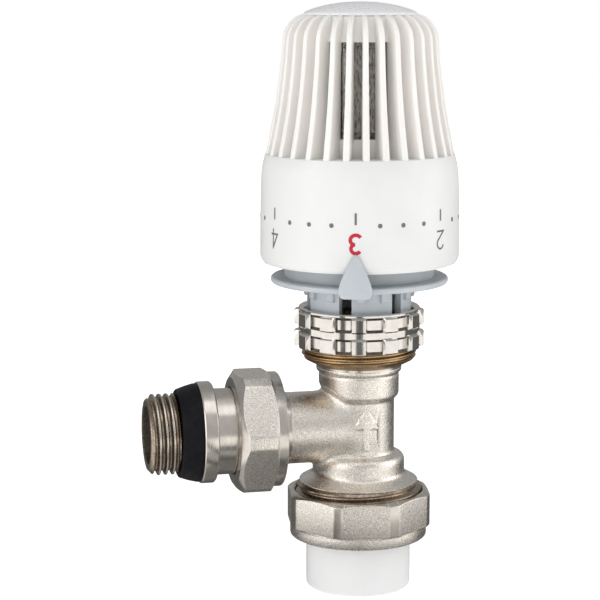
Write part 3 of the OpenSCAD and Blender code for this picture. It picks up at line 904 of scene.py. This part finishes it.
def top_cap():
    dome = smooth_line([(13.9, 150.62), (11.5, 151.5), (8.0, 152.35), (4.0, 152.92), (0.0, 153.1)], 6)
    outline = [(0.0, 151.5), (12.0, 149.2), (12.2, 147.0), (13.35, 147.0), (13.35, 149.7), (14.35, 149.7),
               (14.5, 149.9), (14.45, 150.2), *[tuple(p) for p in dome]]
    piece = paint(spun("domed_cap", outline, HEAD, steps=120), CAP_WHITE)
    return done(piece, "handwheel", "white_plastic", "top_cap")


# --- printed scale ----------------------------------------------------------------------------


def arc(cx, cy, rx, ry, start, end, steps):
    return [(cx + rx * math.cos(math.radians(a)), cy + ry * math.sin(math.radians(a)))
            for a in np.linspace(start, end, steps)]


# Each figure's pen strokes, in a cell one unit high
FIGURES = {
    "0": [arc(0, 0.5, 0.25, 0.44, 0, 360, 28)],
    "1": [[(-0.16, 0.76), (0.05, 0.94), (0.05, 0.0)]],
    "2": [[*arc(0, 0.67, 0.25, 0.27, 165, -35, 16), (-0.26, 0.05), (0.28, 0.05)]],
    "3": [arc(-0.01, 0.705, 0.235, 0.23, 150, -80, 16), arc(-0.01, 0.275, 0.27, 0.25, 82, -150, 18)],
    "4": [[(0.12, 0.0), (0.12, 0.95), (-0.26, 0.27), (0.3, 0.27)]],
    "5": [[(0.22, 0.94), (-0.16, 0.94), (-0.2, 0.52), *arc(-0.02, 0.3, 0.27, 0.27, 125, -145, 16)]],
    "frost": [[(0.3 * math.cos(a), 0.5 + 0.3 * math.sin(a)), (-0.3 * math.cos(a), 0.5 - 0.3 * math.sin(a))]
              for a in (math.pi / 2, math.pi / 6, -math.pi / 6)],
    "tick": [[(0, 0), (0, 1)]],
    "dot": [arc(0, 0, 0.25, 0.25, 0, 360, 20)],
}


def divided(path, step=0.3):
    """The same path with points at most a step apart, so that it can follow the band."""
    p = np.array(path, float)
    parts = [np.linspace(a, b, max(int(np.linalg.norm(b - a) / step), 1), endpoint=False)
             for a, b in zip(p, p[1:])]
    return np.vstack([*parts, p[-1:]])


def stroke(path, width):
    """The outline points of a flat pen stroke, section by section: (left side, right side)."""
    p = divided(path)
    ahead = np.diff(p, axis=0)
    ahead /= np.linalg.norm(ahead, axis=1)[:, None]
    sides = []
    for i in range(len(p)):
        a = ahead[max(i - 1, 0)]
        b = ahead[min(i, len(ahead) - 1)]
        mean = (a + b) / np.linalg.norm(a + b)
        reach = width / 2 / max(float(mean @ b), 0.45)
        normal = np.array([-mean[1], mean[0]]) * reach
        sides.append((p[i] + normal, p[i] - normal))
    return sides


def printed(figure, turn, foot, height, width, material):
    """A figure upside down on the number band, turn degrees from the pointer, a hair proud of it."""
    points = []
    faces = []
    proud = 0.04
    for path in FIGURES[figure]:
        path = np.array(path) * height
        start = len(points)
        sections = stroke(path, width)
        for left, right in sections:
            for (u, v), lift in ((left, -FINE), (left, proud), (right, proud), (right, -FINE)):
                z = foot + height - v
                a = math.radians(turn) - u / band_radius(z)
                r = band_radius(z) + lift
                points.append((r * math.cos(a), r * math.sin(a), z))
        faces += skin_faces(len(sections), 4, start)
        if np.linalg.norm(path[0] - path[-1]) > 0.01:
            faces += [tuple(range(start, start + 4)), tuple(range(len(points) - 4, len(points)))]
    return paint(mesh_object("printed_" + figure, points, faces, HEAD), material)


def printed_scale():
    """Numbers with a tick above each, and three marks between neighbours, read from above."""
    marks = []
    dot = 1.15
    dot_pen = dot / 2 + 0.02  # wide enough to close the ring's middle
    for i, figure in enumerate(["5", "4", "3", "2", "1", "0"]):
        turn = SCALE_STEP * (i - 2)
        chosen = figure == "3"
        pen = 0.9 if chosen else 0.46
        marks.append(printed(figure, turn, 91.75, 5.0, pen, RED_INK if chosen else GREY_INK))
        marks.append(printed("tick", turn, 99.1, 2.95, 0.55, GREY_INK))
        if figure == "0":
            continue
        for k in (1, 2, 3):
            between = turn + SCALE_STEP / 4 * k
            if figure == "1" and k == 2:
                marks.append(printed("frost", between, 97.4, 4.0, 0.4, GREY_INK))
            else:
                marks.append(printed("dot", between, 98.851 - dot, dot, dot_pen, GREY_INK))
    return done(joined("printed_scale", marks), "handwheel", "white_plastic")


# --- sensor -----------------------------------------------------------------------------------


def sensor_capsule():
    """The sealed can behind the window, with a rolled seam near each end."""
    outline = rounded([
        (0.0, 116.0), (11.4, 116.0, 0.5), (12.0, 117.2, 0.4), (12.0, 119.9), (11.8, 120.1), (11.8, 120.5),
        (12.0, 120.7), (12.0, 141.6), (11.8, 141.8), (11.8, 142.2), (12.0, 142.4), (12.0, 145.2, 0.5),
        (9.5, 146.0, 0.5), (3.0, 145.2, 0.3), (0.0, 145.2),
    ], 3)
    piece = paint(spun("sensor_can", outline, HEAD), TIN)
    return done(piece, "sensor", "sensor_metal", "sensor_capsule")


def finish_hidden_nodes():
    """Materials for the CAD nodes that keep their own shape inside the valve."""
    finishes = {
        BRASS: ["bonnet", "gland_nut", "valve_disc", "disc_screw"],
        RUBBER: ["bonnet_oring", "gland_oring", "disc_washer", "inlet_gasket", "outlet_oring"],
        STEEL: ["spindle", "spindle_spring", "sensor_piston", "overtravel_spring"],
        GREY: ["sensor_carrier"],
        WARM_WHITE: ["transmission_pin"],
    }
    for material, names in finishes.items():
        for name in names:
            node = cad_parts[name]
            node.data.materials.clear()
            node.data.materials.append(material)


# --- studio -----------------------------------------------------------------------------------


def area_light(name, place, towards, size, power):
    light = bpy.data.lights.new(name, "AREA")
    light.shape = "RECTANGLE"
    light.size, light.size_y = size
    light.energy = power
    lamp = bpy.data.objects.new(name, light)
    lamp.location = place
    lamp.rotation_euler = (Vector(towards) - Vector(place)).to_track_quat("-Z", "Y").to_euler()
    bpy.context.scene.collection.objects.link(lamp)


def staged(name, outline, material):
    """A flat sheet of the studio, which isn't part of the object."""
    mesh = bpy.data.meshes.new(name)
    mesh.from_pydata(outline, [], [tuple(range(len(outline)))])
    mesh.materials.append(material)
    sheet = bpy.data.objects.new(name, mesh)
    bpy.context.scene.collection.objects.link(sheet)
    return sheet


def floor():
    """A plain pale floor that glows, more strongly into the distance: painted light."""
    s = Shader("pale_floor", (0.86, 0.86, 0.86), 0.8, Emission_Color=(1, 1, 1, 1))
    s.colours(s.noise(60, 2), (0.85, 0.85, 0.85), (0.86, 0.86, 0.86))
    away = s.node("ShaderNodeVectorMath", operation="LENGTH")
    glow = s.node("ShaderNodeMapRange")
    s.link(s.place, away.inputs[0])
    s.link(away.outputs["Value"], glow.inputs["Value"])
    # Painted light: the floor glows at 0.6 within 0.1 m of the valve, rising to 1.0 at 0.6 m.
    for socket, value in (("From Min", 0.1), ("From Max", 0.6), ("To Min", 0.6), ("To Max", 1.0)):
        glow.inputs[socket].default_value = value
    s.link(glow.outputs[0], s.shader.inputs["Emission Strength"])
    edge = np.linspace(0, 2 * math.pi, 65)[:-1]
    staged("floor", [(1.5 * math.cos(a), 1.5 * math.sin(a), -0.0004) for a in edge], s.material)


def reflected_card(name, start, end, inner, outer, height, light):
    """A sector of the table that shows only in reflections; angles are seen from above, from +X."""
    material = bpy.data.materials.new(name)
    material.use_nodes = True
    shader = material.node_tree.nodes["Principled BSDF"]
    shader.inputs["Base Color"].default_value = (0, 0, 0, 1)
    shader.inputs["Roughness"].default_value = 1
    shader.inputs["Emission Color"].default_value = (1, 0.985, 0.96, 1)
    shader.inputs["Emission Strength"].default_value = light
    turns = np.radians(np.linspace(start, end, 25))
    rim = [(outer * math.cos(a), outer * math.sin(a), height) for a in turns]
    core = [(inner * math.cos(a), inner * math.sin(a), height) for a in reversed(turns)]
    card = staged(name, rim + core, material)
    card.visible_camera = False
    card.visible_diffuse = False
    card.visible_shadow = False


def reflections():
    """What polished metal sees of the table: bright in front, dark behind and towards the camera."""
    camera_side = 255.7
    for name, start in (("left", camera_side - 180), ("right", camera_side)):
        reflected_card("dark_" + name, start, start + 180, 0.0, 1.45, 0.0006, 0.10)
    fields = (("side", -100, -36), ("left", -26, -5), ("right", 7, 95))
    rings = (("under", 0.0, 0.045, 0.2), ("near", 0.045, 0.09, 0.5), ("far", 0.09, 1.4, 1.25))
    for name, start, end in fields:
        for ring, inner, outer, light in rings:
            first = camera_side + start
            last = camera_side + end
            reflected_card(ring + "_" + name, first, last, inner, outer, 0.001, light)


def surroundings():
    """White where the camera looks past the floor; for the rest a dim room, bright high up in front."""
    world = bpy.data.worlds.new("studio")
    bpy.context.scene.world = world
    world.use_nodes = True
    tree = world.node_tree
    white = tree.nodes["Background"]
    white.inputs["Color"].default_value = (1, 1, 1, 1)
    room = tree.nodes.new("ShaderNodeBackground")
    place = tree.nodes.new("ShaderNodeTexCoord")
    towards = tree.nodes.new("ShaderNodeVectorMath")
    towards.operation = "DOT_PRODUCT"
    towards.inputs[1].default_value = Vector((0.1, -0.6, 0.8)).normalized()
    ramp = tree.nodes.new("ShaderNodeValToRGB")
    ramp.color_ramp.elements[0].position = 0.35
    ramp.color_ramp.elements[0].color = (0.36, 0.36, 0.36, 1)
    ramp.color_ramp.elements[1].position = 0.85
    ramp.color_ramp.elements[1].color = (0.58, 0.58, 0.58, 1)
    path = tree.nodes.new("ShaderNodeLightPath")
    mix = tree.nodes.new("ShaderNodeMixShader")
    tree.links.new(place.outputs["Generated"], towards.inputs[0])
    tree.links.new(towards.outputs["Value"], ramp.inputs[0])
    tree.links.new(ramp.outputs[0], room.inputs["Color"])
    tree.links.new(path.outputs["Is Camera Ray"], mix.inputs[0])
    tree.links.new(room.outputs[0], mix.inputs[1])
    tree.links.new(white.outputs[0], mix.inputs[2])
    tree.links.new(mix.outputs[0], tree.nodes["World Output"].inputs["Surface"])


def studio():
    bpy.context.scene.view_settings.view_transform = "Standard"
    surroundings()
    floor()
    reflections()
    area_light("left", (-0.85, -0.4, 0.42), (0, 0, 0.2), (0.8, 0.84), 3.3)
    area_light("right", (0.85, -0.25, 0.42), (0, 0, 0.2), (0.8, 0.84), 2.9)
    area_light("top", (0.0, -0.35, 1.1), (0, 0, 0.1), (0.9, 0.6), 1.5)


def camera():
    lens = bpy.data.cameras.new("camera")
    lens.lens = 114
    lens.sensor_width = 36
    lens.clip_start = 0.01
    view = bpy.data.objects.new("camera", lens)
    view.location = (-0.1204, -0.47295, 0.15695)
    view.rotation_euler = Vector((0.21312, 0.96328, -0.1631)).to_track_quat("-Z", "Y").to_euler()
    bpy.context.scene.collection.objects.link(view)
    bpy.context.scene.camera = view


camera()
valve_body()
inlet_nut()
inlet_tail()
outlet_nut()
outlet_tail()
cone_seal()
lock_nut()
head_base()
indicator_ring()
handwheel()
top_cap()
printed_scale()
sensor_capsule()
finish_hidden_nodes()
studio()
